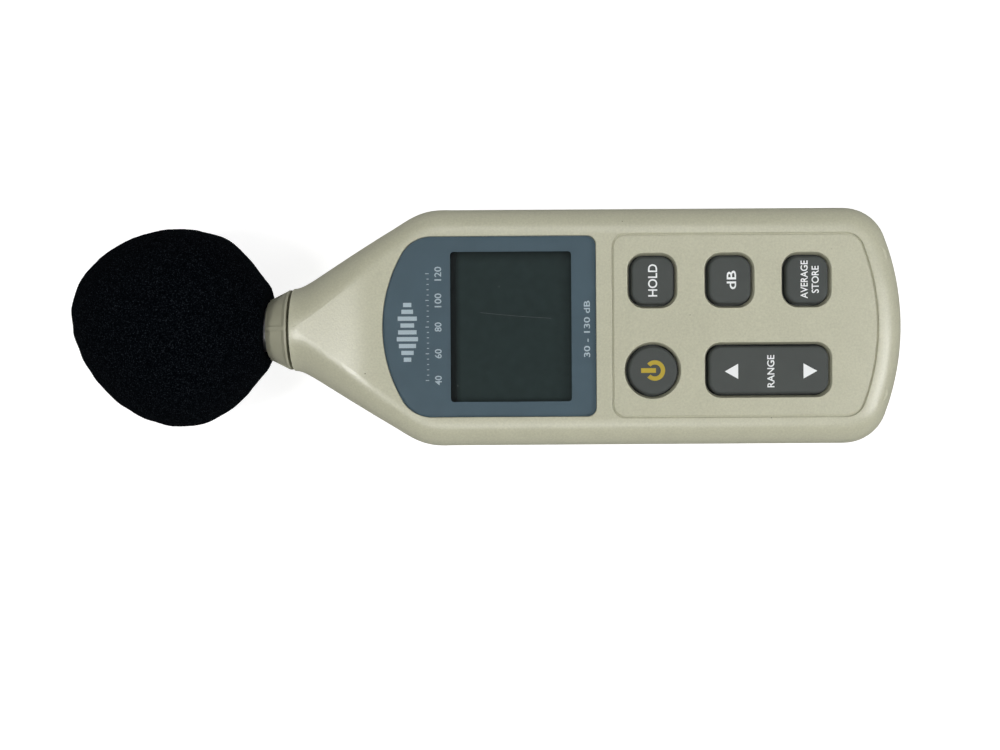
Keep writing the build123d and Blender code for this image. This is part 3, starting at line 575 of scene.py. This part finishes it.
# Legend, its words, the key and body that carry it, its place from the key's middle, and the
# height and length of its letters.
KEY_LEGENDS = [
    ("hold_legend", "HOLD", "hold_key", "hold_button", (0, 0), 2.7, 9.4),
    ("unit_legend", "dB", "weighting_key", "weighting_button", (0.4, 0), 2.7, 5.4),
    ("average_legend", "AVERAGE", "response_key", "response_button", (-0.9, 0), 2.1, 11.0),
    ("store_legend", "STORE", "response_key", "response_button", (2.3, 0), 2.1, 7.9),
    ("range_legend", "RANGE", "range_key", "range_rocker", (0.5, -0.4), 2.1, 9.4),
]
for name, words, key, body, (shift_x, shift_y), cap, length in KEY_LEGENDS:
    key_x, key_y = middle(key)
    centre = (key_x + shift_x, key_y + shift_y)
    legend(name, words, centre, key_top, cap, length, body, print_white)

# Triangles on the two-way key: the tip and the base of each along it, and the tip and the base's
# ends across it.
ARROWS_ALONG = ((-12.9, -9.0), (14.0, 10.0))
ARROW_ACROSS = (-0.4, -2.6, 1.8)
rocker_x, rocker_y = middle("range_key")
tip_y, low_y, high_y = (rocker_y + across for across in ARROW_ACROSS)
arrows = []
for tip, base in ARROWS_ALONG:
    tip_x, base_x = rocker_x + tip, rocker_x + base
    arrows.append([(tip_x, tip_y), (base_x, low_y), (base_x, high_y)])
flat_shape("range_arrows", arrows, key_top, "range_rocker", print_white)

# The common power sign: a ring, open towards the microphone, and a bar through the opening.
POWER_RADII = (1.73, 2.98)
POWER_OPENING = 42  # degrees to either side
POWER_STEPS = 48
POWER_SHIFT = 0.5
POWER_BAR = (-4.0, 0.3)
POWER_BAR_HALF = 0.68
power_x, power_y = middle("power_key")
power_x += POWER_SHIFT
there = range(POWER_STEPS + 1)
arc = []
for radius, turns in ((POWER_RADII[1], there), (POWER_RADII[0], reversed(there))):
    for turn in turns:
        swept = (360 - 2 * POWER_OPENING) * turn / POWER_STEPS
        angle = math.radians(-180 + POWER_OPENING + swept)
        arc.append((power_x + radius * math.cos(angle), power_y + radius * math.sin(angle)))
bar = rectangle(
    (power_x + POWER_BAR[0], power_x + POWER_BAR[1]),
    (power_y - POWER_BAR_HALF, power_y + POWER_BAR_HALF),
)
flat_shape("power_sign", [arc, bar], key_top, "power_button", print_gold)

# On the display's bezel: a level-bars mark, a number scale and the range line.
LEVELS = (2.2, 3.6, 5.0, 6.2, 5.4, 4.0, 5.6, 3.4, 2.4)
LEVELS_CENTRE = (-22.9, -1.5)
LEVEL_STEP = 2.0
LEVEL_HALF = 0.62
bars = []
for index, level in enumerate(LEVELS):
    x, y = LEVELS_CENTRE[0], LEVELS_CENTRE[1] + (index - (len(LEVELS) - 1) / 2) * LEVEL_STEP
    bars.append(rectangle((x - level / 2, x + level / 2), (y - LEVEL_HALF, y + LEVEL_HALF)))
flat_shape("level_bars", bars, mask_top, "meter", print_pale)


def bezel_legend(name, words, centre, cap, length):
    """Printed words on the display's bezel."""
    legend(name, words, centre, mask_top, cap, length, "meter", print_pale)


SCALE_MARKS = ("40", "60", "80", "100", "120")
SCALE_X = -13.9
SCALE_STEP = 7.8
DIGIT_WIDTH = 1.35
for index, mark in enumerate(SCALE_MARKS):
    centre = (SCALE_X, (index - 2) * SCALE_STEP)
    bezel_legend(f"scale_{mark}", mark, centre, 2.0, DIGIT_WIDTH * len(mark))
TICKS_X = -16.6
TICK_STEP = 1.56
TICK_HALF = 0.1
ticks = []
for index in range(21):
    y = (index - 10) * TICK_STEP
    depth = 1.0 if index % 5 == 0 else 0.6
    ticks.append(rectangle((TICKS_X - depth, TICKS_X), (y - TICK_HALF, y + TICK_HALF)))
flat_shape("scale_ticks", ticks, mask_top, "meter", print_pale)
bezel_legend("span_line", "30 - 130 dB", (29.6, -0.8), 1.8, 16.5)

# ------------------------------------------------------------------ signs of use
dust = moulded("dust", (0.10, 0.095, 0.07), 0.8, 0.2, 6.0, 0.004)
scuff = moulded("scuff", (0.06, 0.07, 0.07), 0.6, 0.2, 6.0, 0.004)
FACE_Z = meter_box("front_shell")[1].z
LENS_Z = meter_box("display_lens")[1].z


def fleck(x, y, radius):
    """A tiny uneven dot."""
    outline = []
    for corner in range(7):
        angle = 2 * math.pi * corner / 7
        reach = radius * (1 + 0.35 * noise.noise(Vector((x, y, corner * 1.7))))
        outline.append((x + reach * math.cos(angle), y + reach * math.sin(angle)))
    return outline


# X, Y and radius of each fleck
CASING_FLECKS = [
    (59.6, 3.0, 0.16),
    (-35.2, -13.5, 0.17),
    (83.1, -27.1, 0.14),
    (101.0, 22.0, 0.10),
    (40.0, 30.4, 0.12),
]
LENS_FLECKS = [
    (-8.2, -17.2, 0.16),
    (4.0, 11.6, 0.12),
    (3.2, -8.6, 0.09),
    (-22.0, 14.0, 0.10),
    (26.6, -20.0, 0.12),
]
casing_dots = [fleck(*spot) for spot in CASING_FLECKS]
flat_shape("casing_dust", casing_dots, FACE_Z, "meter", dust)
lens_dots = [fleck(*spot) for spot in LENS_FLECKS]
flat_shape("lens_dust", lens_dots, LENS_Z, "meter", scuff)
SCRATCH = [(-1.6, 4.1), (4.0, 3.5), (10.5, 2.9), (19.2, 2.3)]
SCRATCH_WIDTH = 0.08
scratch_outline = [(x, y + SCRATCH_WIDTH / 2) for x, y in SCRATCH]
scratch_outline += [(x, y - SCRATCH_WIDTH / 2) for x, y in reversed(SCRATCH)]
flat_shape("lens_scratch", [scratch_outline], LENS_Z, "meter", scuff)
